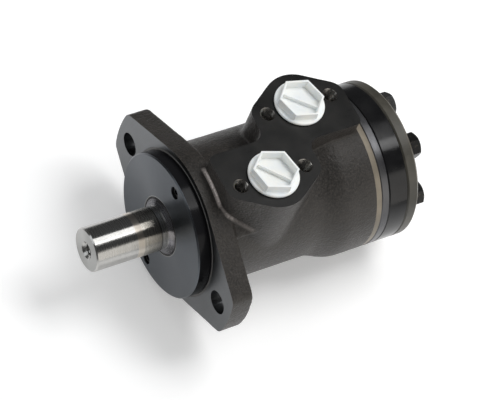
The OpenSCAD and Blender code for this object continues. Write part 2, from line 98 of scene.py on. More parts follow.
FLANGE_T = 13 * MM
NECK_R = 40 * MM
BULGE = (68 * MM, 88 * MM)
PORT_BORE_R = 9.5 * MM
PORT_DEPTH = 15 * MM
SPOT_R = 14.8 * MM
SPOT_Z = PORTS["a"].z
SCREW_DEPTH = 13 * MM
RECESS_R = 42.45 * MM
RECESS_DEPTH = 0.6 * MM
SPIGOT_R = 29.6 * MM
SPIGOT_DEPTH = 5 * MM
RACE_HOLE_R = 27 * MM
RACE_HOLE_DEPTH = 9 * MM
SPOOL_BORE_R = 21.05 * MM
COVER_SCREW_R = 34 * MM     # circle of the front cover's two screws
COVER_SCREW_HOLE_R = 2.05 * MM
COVER_SCREW_DEPTH = 12 * MM
DRAIN_BOSS_R = 11 * MM
DRAIN_BORE_R = 5.9 * MM
DRAIN_DEPTH = 14 * MM
SEAL_HOLE_R = 17 * MM
PAD_END_R = 9 * MM
PORT_WALL_X = PORTS["a"].x - SCREW_PITCH / 2 - PAD_END_R
BAND_W = 3.4 * MM
BAND_R = BODY_R - 0.25 * MM
BOLT_N = 7
BOLT_STEP = 2 * math.pi / BOLT_N
FIRST_BOLT = math.pi / 2 + BOLT_STEP / 2
BOLT_CIRCLE_R = 33 * MM
BOLT_HOLE_R = 4.05 * MM
BOLT_HOLE_X = 94 * MM
M8_PITCH = 1.25 * MM
PORT_PITCH = 1.814 * MM
STOCK = 4 * MM          # metal left on the raw casting where it is machined
OVER = 1 * MM           # overshoot of every cutter
FAR = 0.2               # half the size of the blocks that cut the faces
TINY = 0.02 * MM

# ---------------------------------------------------------------- mesh helpers


def new_object(name, verts, faces):
    mesh = bpy.data.meshes.new(name)
    mesh.from_pydata([tuple(v) for v in verts], [], faces)
    mesh.validate()
    obj = bpy.data.objects.new(name, mesh)
    bpy.context.scene.collection.objects.link(obj)
    return obj


def spin(profile, n=128):
    """Solid of revolution about X from [x, radius] points that start and end on the axis."""
    angles = [2 * math.pi * k / n for k in range(n)]
    verts = [(profile[0][0], 0, 0), (profile[-1][0], 0, 0)]
    rings = profile[1:-1]
    for x, r in rings:
        verts += [(x, r * math.cos(a), r * math.sin(a)) for a in angles]
    faces = []
    for k in range(n):
        k2 = (k + 1) % n
        faces.append((0, 2 + k2, 2 + k))
        for i in range(len(rings) - 1):
            a, b = 2 + i * n, 2 + (i + 1) * n
            faces.append((a + k, a + k2, b + k2, b + k))
        last = 2 + (len(rings) - 1) * n
        faces.append((1, last + k, last + k2))
    return verts, faces


def ring_spin(profile, n=128):
    """Closed ring about X from a closed loop of [x, radius] points."""
    count = len(profile)
    verts = []
    for x, r in profile:
        verts += [(x, r * math.cos(2 * math.pi * k / n), r * math.sin(2 * math.pi * k / n)) for k in range(n)]
    faces = []
    for i in range(count):
        a, b = i * n, ((i + 1) % count) * n
        faces += [(b + k, b + (k + 1) % n, a + (k + 1) % n, a + k) for k in range(n)]
    return verts, faces


def extrude(outline, low, high, place):
    """Prism over a closed 2-D outline; place turns (u, v, height) into a point."""
    n = len(outline)
    verts = [place(u, v, low) for u, v in outline] + [place(u, v, high) for u, v in outline]
    faces = [tuple(reversed(range(n))), tuple(range(n, 2 * n))]
    faces += [(k, (k + 1) % n, n + (k + 1) % n, n + k) for k in range(n)]
    return verts, faces


def along_x(u, v, h):
    return (h, u, v)


def along_z(u, v, h):
    return (u, v, h)


def arc(centre, r, a0, a1, n):
    return [(centre[0] + r * math.cos(a0 + (a1 - a0) * i / n),
             centre[1] + r * math.sin(a0 + (a1 - a0) * i / n)) for i in range(n + 1)]


def joined(*parts):
    verts, faces = [], []
    for part_verts, part_faces in parts:
        base = len(verts)
        verts += list(part_verts)
        faces += [tuple(base + i for i in f) for f in part_faces]
    return verts, faces


def thread_cutter(r_minor, r_major, pitch, length, mouth, around=48, per_turn=8):
    """Closed screw-shaped solid along +Z from -length to 0, with a bevelled mouth above its last turn."""
    rows = int(per_turn * length / pitch)
    verts = []
    for i in range(rows + 1):
        z = -length + length * i / rows
        for k in range(around):
            phase = (z / pitch - k / around) % 1.0
            tooth = min(1.0, max(0.0, 2.6 * (0.5 - abs(phase - 0.5)) - 0.15))
            r = r_minor + (r_major - r_minor) * tooth
            r = max(r, r_major + mouth + z) if z > -mouth * 1.5 else r
            a = 2 * math.pi * k / around
            verts.append((r * math.cos(a), r * math.sin(a), z))
    top = r_major + mouth + OVER
    verts += [(top * math.cos(2 * math.pi * k / around), top * math.sin(2 * math.pi * k / around), OVER)
              for k in range(around)]
    rows += 1
    faces = [(i * around + k, i * around + (k + 1) % around, (i + 1) * around + (k + 1) % around,
              (i + 1) * around + k) for i in range(rows) for k in range(around)]
    tip = len(verts)
    verts += [(0, 0, -length - r_minor * 0.5), (0, 0, OVER)]
    faces += [(tip, (k + 1) % around, k) for k in range(around)]
    faces += [(tip + 1, rows * around + k, rows * around + (k + 1) % around) for k in range(around)]
    return verts, faces


def moved(part, matrix):
    verts, faces = part
    return [tuple(matrix @ Vector(v)) for v in verts], faces


def at(x, y, z):
    return Matrix.Translation((x, y, z))


def bake(obj):
    """Applies every modifier of obj."""
    graph = bpy.context.evaluated_depsgraph_get()
    mesh = bpy.data.meshes.new_from_object(obj.evaluated_get(graph))
    obj.modifiers.clear()
    obj.data = mesh
    return obj


def boolean(obj, part, operation="DIFFERENCE"):
    """Cuts, joins or intersects obj with a closed solid given as (verts, faces)."""
    tool = new_object("tool", *part)
    modifier = obj.modifiers.new("boolean", "BOOLEAN")
    modifier.solver = "MANIFOLD"
    modifier.operation = operation
    modifier.object = tool
    bake(obj)
    bpy.data.objects.remove(tool)
    return obj


def clean(obj, distance=2e-6):
    weld = obj.modifiers.new("weld", "WELD")
    weld.merge_threshold = distance
    return bake(obj)


def shade_by_angle(obj, degrees=32):
    mesh = obj.data
    if mesh.attributes.get("custom_normal"):
        mesh.attributes.remove(mesh.attributes["custom_normal"])
    mesh.polygons.foreach_set("use_smooth", [True] * len(mesh.polygons))
    mesh.set_sharp_from_angle(angle=math.radians(degrees))
    return obj


def rounded(obj, width, degrees=35, segments=2):
    bevel = obj.modifiers.new("bevel", "BEVEL")
    bevel.width = width
    bevel.segments = segments
    bevel.limit_method = "ANGLE"
    bevel.angle_limit = math.radians(degrees)
    bevel.harden_normals = False
    bevel.use_clamp_overlap = True
    return bake(obj)


# ---------------------------------------------------------------- outlines of the housing


def flange_outline():
    lean, corner_r = math.radians(60), 5.5 * MM
    corner_a = lean - math.acos((BODY_R - corner_r) / (LUG_R - corner_r))
    corner = ((LUG_R - corner_r) * math.cos(corner_a), (LUG_R - corner_r) * math.sin(corner_a))
    quarter = arc((0, 0), LUG_R, 0, corner_a, 6)[:-1] + arc(corner, corner_r, corner_a, lean, 6)
    quarter += arc((0, 0), BODY_R, lean, math.pi / 2, 12)
    left = [(-y, z) for y, z in reversed(quarter[:-1])]
    half = quarter + left
    return half + [(-y, -z) for y, z in half[1:-1]]


def pad_outline():
    a, b = PORTS["a"], PORTS["b"]
    lobe_r, end_r, half = 19.75 * MM, PAD_END_R, SCREW_PITCH / 2
    corner_r, notch_r, edge_y = 4 * MM, 7 * MM, 4.3 * MM
    lean = math.acos((lobe_r - end_r) / half)
    middle = (a.x + b.x) / 2
    front = a.x - half - end_r
    waist = 2 * middle - (a.x + half + end_r)
    turn = math.pi
    points = arc((waist - notch_r, edge_y + notch_r), notch_r, 0, -turn / 2, 8)
    points += arc((front + corner_r, edge_y - corner_r), corner_r, turn / 2, turn, 6)
    points += arc((a.x - half, a.y), end_r, turn, turn + lean, 6)
    points += arc((a.x, a.y), lobe_r, turn + lean, 2 * turn - lean, 20)
    points += arc((a.x + half, a.y), end_r, 2 * turn - lean, 2 * turn, 6)
    return points + [(2 * middle - x, -y) for x, y in points]


def casting_profile():
    x0, x1 = BULGE
    points = [(-STOCK, 0), (-STOCK, NECK_R)]
    steps = 12
    for i in range(steps + 1):
        ease = (1 - math.cos(math.pi * i / steps)) / 2
        points.append((x0 + (x1 - x0) * i / steps, NECK_R + (BODY_R - NECK_R) * ease))
    points += [(HOUSING_L + STOCK, BODY_R), (HOUSING_L + STOCK, 0)]
    return points


# ---------------------------------------------------------------- materials


class Paint:
    """A Principled material and short calls to build its nodes."""

    def __init__(self, name, base, roughness, metallic=0.0, **sockets):
        self.material = bpy.data.materials.new(name)
        self.material.use_nodes = True
        self.tree = self.material.node_tree
        self.shader = self.tree.nodes["Principled BSDF"]
        self.shader.inputs["Base Color"].default_value = (*base, 1)
        self.shader.inputs["Roughness"].default_value = roughness
        self.shader.inputs["Metallic"].default_value = metallic
        for key, value in sockets.items():
            self.shader.inputs[key.replace("_", " ")].default_value = value
        self.place = self.node("ShaderNodeTexCoord").outputs["Object"]
        self.height = None

    def node(self, kind, **settings):
        made = self.tree.nodes.new(kind)
        for key, value in settings.items():
            setattr(made, key, value)
        return made

    def plug(self, socket, value):
        if isinstance(value, bpy.types.NodeSocket):
            self.tree.links.new(value, socket)
        else:
            socket.default_value = value

    def math(self, operation, a, b=0.0, c=0.0):
        made = self.node("ShaderNodeMath", operation=operation)
        for socket, value in zip(made.inputs, (a, b, c)):
            self.plug(socket, value)
        return made.outputs[0]

    def split(self):
        made = self.node("ShaderNodeSeparateXYZ")
        self.plug(made.inputs[0], self.place)
        return made.outputs

    def combine(self, x, y, z):
        made = self.node("ShaderNodeCombineXYZ")
        for socket, value in zip(made.inputs, (x, y, z)):
            self.plug(socket, value)
        return made.outputs[0]

    def noise(self, scale, detail=3.0, rough=0.55, place=None):
        made = self.node("ShaderNodeTexNoise")
        self.plug(made.inputs["Vector"], place or self.place)
        made.inputs["Scale"].default_value = scale
        made.inputs["Detail"].default_value = detail
        made.inputs["Roughness"].default_value = rough
        return made.outputs["Fac"]

    def cells(self, scale):
        made = self.node("ShaderNodeTexVoronoi")
        self.plug(made.inputs["Vector"], self.place)
        made.inputs["Scale"].default_value = scale
        return made.outputs["Distance"]

    def remap(self, value, low, high, to_low=0.0, to_high=1.0):
        made = self.node("ShaderNodeMapRange")
        for socket, number in zip(made.inputs, (value, low, high, to_low, to_high)):
            self.plug(socket, number)
        return made.outputs[0]

    def mix(self, factor, a, b):
        made = self.node("ShaderNodeMix", data_type="RGBA")
        self.plug(made.inputs["Factor"], factor)
        for socket, colour in ((made.inputs["A"], a), (made.inputs["B"], b)):
            self.plug(socket, colour if isinstance(colour, bpy.types.NodeSocket) else (*colour, 1))
        return made.outputs["Result"]

    def length(self, a, b):
        return self.math("SQRT", self.math("ADD", self.math("MULTIPLY", a, a), self.math("MULTIPLY", b, b)))

    def radial_tangent(self):
        """Runs the finish's lines round the X axis."""
        tangent = self.node("ShaderNodeTangent", direction_type="RADIAL", axis="X")
        self.plug(self.shader.inputs["Tangent"], tangent.outputs[0])

    def away_from_line(self, start, end):
        """Distance to the straight piece between two points."""
        along = Vector(end) - Vector(start)
        offset = self.node("ShaderNodeVectorMath", operation="SUBTRACT")
        self.plug(offset.inputs[0], self.place)
        self.plug(offset.inputs[1], Vector(start))
        dot = self.node("ShaderNodeVectorMath", operation="DOT_PRODUCT")
        self.plug(dot.inputs[0], offset.outputs[0])
        self.plug(dot.inputs[1], along)
        nearest = self.node("ShaderNodeVectorMath", operation="SCALE")
        self.plug(nearest.inputs[0], along)
        self.plug(nearest.inputs["Scale"], self.remap(dot.outputs["Value"], 0.0, along.length_squared))
        gap = self.node("ShaderNodeVectorMath", operation="DISTANCE")
        self.plug(gap.inputs[0], offset.outputs[0])
        self.plug(gap.inputs[1], nearest.outputs[0])
        return gap.outputs["Value"]

    def turned(self, frequency, drift=60.0):
        """Fine lines round the X axis: rings on flat ends, hoops on round sides."""
        x, y, z = self.split()
        r = self.length(y, z)
        s = self.math("MULTIPLY", self.math("ADD", x, r), frequency)
        place = self.combine(s, self.math("MULTIPLY", y, drift), self.math("MULTIPLY", z, drift))
        return self.noise(1.0, 3.0, 0.6, place)

    def milled(self, frequency, drift=40.0):
        """Fine straight lines along X, as a face mill leaves them."""
        x, y, _ = self.split()
        bow = self.math("MULTIPLY", self.math("MULTIPLY", x, x), 1.5)
        s = self.math("MULTIPLY", self.math("ADD", y, bow), frequency)
        return self.noise(1.0, 2.0, 0.6, self.combine(self.math("MULTIPLY", x, drift), s, 0.0))

    def colour(self, value):
        self.plug(self.shader.inputs["Base Color"], value)
        return self

    def rough(self, value):
        self.plug(self.shader.inputs["Roughness"], value)
        return self

    def bump(self, value, distance, strength=1.0):
        made = self.node("ShaderNodeBump")
        made.inputs["Strength"].default_value = strength
        made.inputs["Distance"].default_value = distance
        self.plug(made.inputs["Height"], value)
        if self.height is not None:
            self.plug(made.inputs["Normal"], self.height)
        self.height = made.outputs[0]
        self.plug(self.shader.inputs["Normal"], self.height)
        return self


GUSSET_CORNERS = [(11 * MM, -14 * MM, 43 * MM), (11 * MM, -35 * MM, 28.5 * MM),
                  (25.5 * MM, -34.8 * MM, 29.3 * MM)]
GUSSET_DEPTH = 0.78     # the web's inner corners lie at this share of the outer ones' distance from the axis
# line along the web's ridge where a painted highlight runs
GUSSET_RIDGE = [(8.6 * MM, -18 * MM, 41.9 * MM), (11.2 * MM, -24.4 * MM, 38.4 * MM),
                (12.8 * MM, -25.8 * MM, 37.2 * MM), (24 * MM, -33 * MM, 30.5 * MM)]
RIDGE_HIGHLIGHT_SHARES = (0.40, 0.30, 0.14)     # how strong the painted highlight is on each stretch of the ridge


def cast_paint():
    """Dark brown paint over sand-cast iron, rubbed at its edges, with a painted highlight in the corner
    beside the flange's rim and along the web's ridge.
    """
    p = Paint("cast_body", (0.022, 0.020, 0.018), 0.45)
    clouds = p.noise(38.0, 4.0)
    grain = p.noise(1000.0, 3.0, 0.65)
    lumps = p.noise(260.0, 2.0)
    pits = p.cells(620.0)
    edge = p.remap(p.node("ShaderNodeNewGeometry").outputs["Pointiness"], 0.52, 0.60)
    rub = p.math("MULTIPLY", edge, p.remap(p.noise(120.0, 3.0), 0.35, 0.6))
    base = p.mix(p.remap(clouds, 0.35, 0.7), (0.018, 0.0165, 0.015), (0.032, 0.028, 0.024))
    base = p.mix(p.remap(grain, 0.46, 0.64), base, (0.046, 0.040, 0.035))
    base = p.mix(p.math("MULTIPLY", rub, 0.6), base, (0.14, 0.118, 0.092))
    # painted highlight: a light bare-metal colour in the corner beside the flange's rim and along the web's
    # ridge
    fillet = fillet_highlight_mask(p)
    p.colour(p.mix(fillet, base, (0.80, 0.72, 0.68)))
    p.plug(p.shader.inputs["Metallic"], fillet)
    p.rough(p.remap(grain, 0.35, 0.65, 0.34, 0.56))
    p.bump(lumps, 0.00035, 0.55)
    p.bump(pits, 0.00030, 0.5)
    return p.bump(grain, 0.00034, 0.9).material


def fillet_highlight_mask(p):
    """Mask of the painted highlight in the corner between the port block and the flange's rim, and along the
    web's ridge.
    """
    x, y, z = p.split()
    r = p.length(y, z)
    dx = p.math("SUBTRACT", x, PORT_WALL_X - 0.5 * MM)
    dr = p.math("SUBTRACT", r, BODY_R + 0.5 * MM)
    away = p.length(dx, dr)
    mask = p.remap(away, 0.7 * MM, 1.5 * MM, 1.0, 0.0)
    mask = p.math("MULTIPLY", mask, p.remap(y, -20 * MM, -16 * MM))
    mask = p.math("MULTIPLY", mask, p.remap(y, 0.0, 4 * MM, 1.0, 0.0))
    mask = p.math("MULTIPLY", mask, p.math("GREATER_THAN", z, 0.0))
    for start, end, share in zip(GUSSET_RIDGE, GUSSET_RIDGE[1:], RIDGE_HIGHLIGHT_SHARES):
        ridge = p.remap(p.away_from_line(start, end), 0.5 * MM, 1.8 * MM, share, 0.0)
        mask = p.math("MAXIMUM", mask, ridge)
    return p.math("MULTIPLY", mask, p.remap(p.noise(900.0, 2.0), 0.3, 0.55, 0.45, 1.0))


def port_face():
    p = Paint("port_face", (0.010, 0.010, 0.0098), 0.30, Specular_IOR_Level=0.3)
    lines = p.milled(5200.0)
    smudge = p.noise(55.0, 4.0)
    p.colour(p.mix(p.remap(smudge, 0.4, 0.7), (0.008, 0.008, 0.0078), (0.016, 0.0155, 0.0145)))
    p.rough(p.math("ADD", p.remap(smudge, 0.3, 0.7, 0.24, 0.36), p.remap(lines, 0.3, 0.7, 0.0, 0.06)))
    return p.bump(lines, 0.00002, 0.35).material


def turned_face(name, dark, light, roughness, frequency, metallic=0.0, depth=0.00002, bright=None):
    """Lathe-turned metal under a thin finish."""
    p = Paint(name, dark, roughness, metallic)
    lines = p.turned(frequency)
    smudge = p.noise(45.0, 4.0)
    base = p.mix(p.remap(smudge, 0.35, 0.7), dark, light)
    if bright:
        base = p.mix(p.remap(lines, 0.62, 0.8, 0.0, 0.5), base, bright)
    p.colour(base)
    p.rough(p.math("ADD", p.remap(smudge, 0.3, 0.7, roughness - 0.06, roughness + 0.06),
                   p.remap(lines, 0.3, 0.7, -0.03, 0.05)))
    return p.bump(lines, depth, 0.4).material


def pilot_finish():
    """Front cover: turned slate-grey face, glossy black side, and a bare foot in the housing's recess, whose
    light grey also stands in for the highlight along its edge.
    """
    p = Paint("pilot_steel", (0.12, 0.13, 0.14), 0.4, 1.0, Anisotropic_Rotation=0.25)
    lines = p.turned(5200.0)
    smudge = p.noise(42.0, 4.0)
    x, y, z = p.split()
    r = p.length(y, z)
    side = p.math("GREATER_THAN", x, COVER_LOW.x + 0.75 * MM)
    foot = p.math("GREATER_THAN", x, 0.05 * MM)
    edge = p.math("LESS_THAN", r, SEAL_HOLE_R + 0.3 * MM)
    base = p.mix(p.remap(smudge, 0.35, 0.7), (0.105, 0.114, 0.126), (0.135, 0.144, 0.156))
    base = p.mix(edge, base, (0.34, 0.34, 0.33))
    base = p.mix(side, base, (0.009, 0.009, 0.010))
    # the foot's light grey is partly bare metal and partly a painted highlight along its edge
    p.colour(p.mix(foot, base, (0.17, 0.165, 0.16)))
    face = p.math("SUBTRACT", 1.0, side)
    p.plug(p.shader.inputs["Metallic"], face)
    p.plug(p.shader.inputs["Anisotropic"], p.math("MULTIPLY", face, 0.8))
    p.plug(p.shader.inputs["Specular IOR Level"], p.remap(side, 0.0, 1.0, 0.5, 0.1))
    p.radial_tangent()
    face_rough = p.remap(smudge, 0.3, 0.7, 0.34, 0.44)
    p.rough(p.math("SUBTRACT", face_rough, p.math("MULTIPLY", side, 0.22)))
    return p.bump(lines, 0.00002, 0.3).material


SATIN_X = -26.2 * MM          # middle of the satin band
NOSE_X = -28 * MM             # the bright nose ends here
STRIP_X = -13.4 * MM          # the bright strip runs from here to the collar
DARK_LINE_X = -13.5 * MM
COLLAR_X = -9.75 * MM


def ground_shaft():
    """Ground steel: bright nose, a satin band, a warmer rear, a dark line and the dark seal collar."""
    p = Paint("polished_shaft", (0.47, 0.465, 0.45), 0.16, 1.0, Anisotropic=0.9, Anisotropic_Rotation=0.25)
    p.radial_tangent()
    fine = p.turned(9000.0, 90.0)
    broad = p.turned(900.0, 30.0)
    x, y, z = p.split()
    band_mid = p.math("ABSOLUTE", p.math("SUBTRACT", x, SATIN_X))
    band = p.remap(band_mid, 1.6 * MM, 2.2 * MM, 1.0, 0.0)
    nose = p.remap(x, NOSE_X - 0.2 * MM, NOSE_X + 0.2 * MM, 1.0, 0.0)
    end = p.math("LESS_THAN", x, SHAFT_LOW.x + TINY)
    strip = p.math("GREATER_THAN", x, STRIP_X)
    off_dark_line = p.math("ABSOLUTE", p.math("SUBTRACT", x, DARK_LINE_X))
    line = p.remap(off_dark_line, 0.2 * MM, 0.4 * MM, 1.0, 0.0)
    collar = p.math("GREATER_THAN", x, COLLAR_X)
    base = p.mix(nose, (0.42, 0.40, 0.355), (0.48, 0.475, 0.46))
    base = p.mix(p.remap(broad, 0.35, 0.7, 0.0, 0.25), base, (0.60, 0.59, 0.57))
    base = p.mix(p.math("MULTIPLY", band, 0.75), base, (0.72, 0.66, 0.58))
    base = p.mix(strip, base, (0.56, 0.555, 0.54))
    # a narrow dark line painted across the shaft just before the bright strip
    base = p.mix(p.math("MULTIPLY", line, 0.8), base, (0.06, 0.06, 0.06))
    base = p.mix(collar, base, (0.44, 0.43, 0.45))
    base = p.mix(end, base, (0.40, 0.40, 0.39))
    p.colour(base)
    rough = p.remap(fine, 0.3, 0.7, 0.22, 0.30)
    rough = p.math("ADD", rough, p.math("MULTIPLY", band, 0.10))
    rough = p.math("ADD", rough, p.math("MULTIPLY", end, 0.06))
    p.rough(rough)
    roll_normal(p, p.math("MULTIPLY", collar, 0.8), p.combine(0.0, y, z))
    return p.bump(fine, 0.00001, 0.08).material


def roll_normal(p, share, direction):
    """Turns the surface's normal towards a direction by the given share, before any bump."""
    outward = p.node("ShaderNodeVectorTransform", vector_type="NORMAL", convert_from="OBJECT",
                     convert_to="WORLD")
    p.plug(outward.inputs[0], direction)
    rolled = p.node("ShaderNodeMix", data_type="VECTOR")
    p.plug(rolled.inputs["Factor"], share)
    p.plug(rolled.inputs[4], p.node("ShaderNodeNewGeometry").outputs["Normal"])
    p.plug(rolled.inputs[5], outward.outputs[0])
    p.height = rolled.outputs[1]


def ground_steel(name="ground_steel", base=(0.55, 0.55, 0.56), roughness=0.24, spot=(0.42, 0.40, 0.37)):
    p = Paint(name, base, roughness, 1.0)
    marks = p.turned(6000.0)
    stain = p.noise(160.0, 4.0)
    p.colour(p.mix(p.remap(stain, 0.5, 0.8), base, spot))
    p.rough(p.remap(marks, 0.3, 0.7, roughness - 0.06, roughness + 0.08))
    return p.bump(marks, 0.00001, 0.3).material


def gloss_black():
    p = Paint("ring_black", (0.008, 0.008, 0.009), 0.14, Specular_IOR_Level=0.38)
    lines = p.turned(3800.0)
    haze = p.noise(70.0, 4.0)
    p.colour(p.mix(p.remap(haze, 0.4, 0.75), (0.006, 0.006, 0.0065), (0.014, 0.014, 0.0145)))
    p.rough(p.math("ADD", p.remap(haze, 0.3, 0.7, 0.10, 0.17), p.remap(lines, 0.3, 0.7, 0.0, 0.04)))
    return p.bump(lines, 0.00002, 0.3).material


def cover_paint():
    p = Paint("cover_olive", (0.07, 0.066, 0.054), 0.42)
    mottle = p.noise(90.0, 5.0)
    lines = p.turned(2600.0)
    x, y, z = p.split()
    r = p.length(y, z)
    rim = p.remap(r, BODY_R - 1.7 * MM, BODY_R - 0.9 * MM)
    rear = p.math("GREATER_THAN", x, WASHERS_LOW.x - 1.7 * MM)
    patches = p.remap(p.noise(140.0, 3.0), 0.3, 0.62, 0.2, 0.8)
    worn = p.math("MULTIPLY", p.math("MULTIPLY", rim, rear), patches)
    base = p.mix(p.remap(mottle, 0.35, 0.7), (0.044, 0.041, 0.033), (0.078, 0.072, 0.058))
    base = p.mix(p.math("MULTIPLY", worn, 0.45), base, (0.20, 0.165, 0.11))
    p.colour(base)
    p.rough(p.remap(mottle, 0.3, 0.7, 0.32, 0.50))
    p.bump(mottle, 0.0001, 0.15)
    return p.bump(lines, 0.00002, 0.3).material


def black_oxide():
    p = Paint("black_oxide", (0.022, 0.021, 0.020), 0.34, 0.6)
    wear = p.noise(420.0, 4.0)
    p.colour(p.mix(p.remap(wear, 0.55, 0.8), (0.018, 0.018, 0.018), (0.085, 0.075, 0.062)))
    p.rough(p.remap(wear, 0.3, 0.7, 0.26, 0.45))
    return p.bump(p.noise(1500.0, 2.0), 0.00004, 0.3).material


def rubber():
    p = Paint("seal_rubber", (0.012, 0.012, 0.012), 0.42)
    skin = p.noise(1400.0, 3.0)
    p.rough(p.remap(skin, 0.3, 0.7, 0.34, 0.55))
    return p.bump(skin, 0.00003, 0.4).material


def white_plastic(name, base, cool):
    p = Paint(name, base, 0.42, 0.0, Subsurface_Weight=0.25, Subsurface_Scale=0.0015)
    p.shader.inputs["Subsurface Radius"].default_value = (1.0, 0.9, 0.8)
    clouds = p.noise(120.0, 3.0)
    skin = p.noise(1800.0, 2.0)
    p.colour(p.mix(p.remap(clouds, 0.35, 0.7), base, cool))
    p.rough(p.remap(skin, 0.3, 0.7, 0.34, 0.50))
    p.bump(clouds, 0.00012, 0.2)
    return p.bump(skin, 0.00003, 0.35).material


def soft_metal(name, base, dark, roughness=0.24):
    p = Paint(name, base, roughness, 1.0)
    tarnish = p.noise(350.0, 4.0)
    p.colour(p.mix(p.remap(tarnish, 0.4, 0.75), base, dark))
    p.rough(p.remap(tarnish, 0.3, 0.7, roughness, roughness + 0.18))
    return p.bump(tarnish, 0.00004, 0.25).material


MATERIALS = {
    "cast_body": cast_paint(),
    "port_face": port_face(),
    "flange_face": turned_face("flange_face", (0.135, 0.140, 0.145), (0.175, 0.18, 0.188), 0.36, 4200.0, 1.0),
    "turned_band": turned_face("turned_band", (0.15, 0.13, 0.10), (0.26, 0.225, 0.175), 0.40, 5200.0, 0.3,
                               bright=(0.40, 0.35, 0.28)),
    "bare_thread": soft_metal("bare_thread", (0.40, 0.385, 0.36), (0.05, 0.045, 0.04), 0.20),
    "pilot_steel": pilot_finish(),
    "black_oxide": black_oxide(),
    "seal_rubber": rubber(),
    "ground_steel": ground_steel(),
    "bearing_brass": soft_metal("bearing_brass", (0.55, 0.40, 0.18), (0.30, 0.20, 0.09)),
    "polished_shaft": ground_shaft(),
    "plate_steel": turned_face("plate_steel", (0.085, 0.085, 0.09), (0.13, 0.13, 0.135), 0.30, 4600.0, 0.8,
                               bright=(0.30, 0.28, 0.26)),
    "ring_black": gloss_black(),
    "cover_olive": cover_paint(),
    "washer_yellow": soft_metal("washer_yellow", (0.62, 0.44, 0.17), (0.36, 0.23, 0.08)),
    "plug_white": white_plastic("plug_white", (0.88, 0.885, 0.85), (0.82, 0.855, 0.87)),
    "seal_white": white_plastic("seal_white", (0.66, 0.70, 0.72), (0.60, 0.66, 0.70)),
    "zinc_steel": ground_steel("zinc_steel", (0.42, 0.43, 0.45), 0.3, (0.30, 0.30, 0.28)),
    "copper_washer": soft_metal("copper_washer", (0.72, 0.33, 0.17), (0.38, 0.16, 0.08)),
}

for part in frame["record"]["subparts"]:
    node_mesh = frame["nodes"][part["node"]].data
    node_mesh.materials.clear()
    node_mesh.materials.append(MATERIALS[part["material_slot"]])

# ---------------------------------------------------------------- housing


DOWNWARDS = Matrix.Rotation(math.pi / 2, 4, "Y")    # turns +X to -Z
UPWARDS = Matrix.Rotation(-math.pi / 2, 4, "Y")     # turns +X to +Z


def gusset():
    """Web that runs from the back of the flange to the neck beside the ports."""
    verts = GUSSET_CORNERS + [(x, y * GUSSET_DEPTH, z * GUSSET_DEPTH) for x, y, z in GUSSET_CORNERS]
    return verts, [(0, 1, 2), (5, 4, 3), (0, 3, 4, 1), (1, 4, 5, 2), (2, 5, 3, 0)]


def raw_casting():
    """The casting before machining: one skin over all its shapes, smoothed into fillets."""
    solids = joined(
        extrude(flange_outline(), -STOCK, FLANGE_T, along_x),
        spin(casting_profile()),
        extrude(pad_outline(), 0, PORT_Z + STOCK, along_z),
        gusset(),
        moved(spin([(0, 0), (0, DRAIN_BOSS_R), (STOCK - DRAIN.z, DRAIN_BOSS_R), (STOCK - DRAIN.z, 0)], 64),
              at(DRAIN.x, 0, 0) @ DOWNWARDS))
    obj = new_object("housing_casting", *solids)
    remesh = obj.modifiers.new("skin", "REMESH")
    remesh.mode = "VOXEL"
    remesh.voxel_size = 0.75 * MM
    smooth = obj.modifiers.new("fillets", "SMOOTH")
    smooth.factor = 0.5
    smooth.iterations = 18
    return swell(bake(obj))


def swell(obj):
    """Slight waves of a sand-cast skin."""
    vertices = obj.data.vertices
    place = np.empty(len(vertices) * 3)
    normal = np.empty(len(vertices) * 3)
    vertices.foreach_get("co", place)
    vertices.foreach_get("normal", normal)
    place, normal = place.reshape(-1, 3), normal.reshape(-1, 3)
    height = [noise.noise(Vector(p) * 90) * 0.09 + noise.noise(Vector(p) * 320) * 0.05 for p in place]
    place += normal * (np.array(height) * MM)[:, None]
    vertices.foreach_set("co", place.ravel())
    obj.data.update()
    return obj


def box_solid(low, high):
    outline = [(low[0], low[1]), (high[0], low[1]), (high[0], high[1]), (low[0], high[1])]
    return extrude(outline, low[2], high[2], along_z)


def rod_x(x0, x1, r, y=0.0, z=0.0, n=64):
    return moved(spin([(x0, 0), (x0, r), (x1, r), (x1, 0)], n), at(0, y, z))


def cut_faces(obj):
    """Front, rear, port and drain faces, and the turned band at the rear."""
    drain_half = 14 * MM
    boolean(obj, box_solid((-FAR, -FAR, -FAR), (0, FAR, FAR)))
    boolean(obj, box_solid((HOUSING_L, -FAR, -FAR), (FAR, FAR, FAR)))
    boolean(obj, box_solid((-FAR, -FAR, PORT_Z), (FAR, FAR, FAR)))
    boolean(obj, box_solid((DRAIN.x - drain_half, -drain_half, -FAR),
                           (DRAIN.x + drain_half, drain_half, DRAIN.z)))
    band_x = HOUSING_L - BAND_W
    run_out = 0.5 * MM
    chamfer = 0.4 * MM
    band = [(band_x, BAND_R), (HOUSING_L - chamfer, BAND_R), (HOUSING_L + OVER, BAND_R - chamfer),
            (HOUSING_L + OVER, FAR), (band_x - run_out, FAR), (band_x - run_out, BODY_R + 0.3 * MM)]
    return boolean(obj, ring_spin(band, 192))


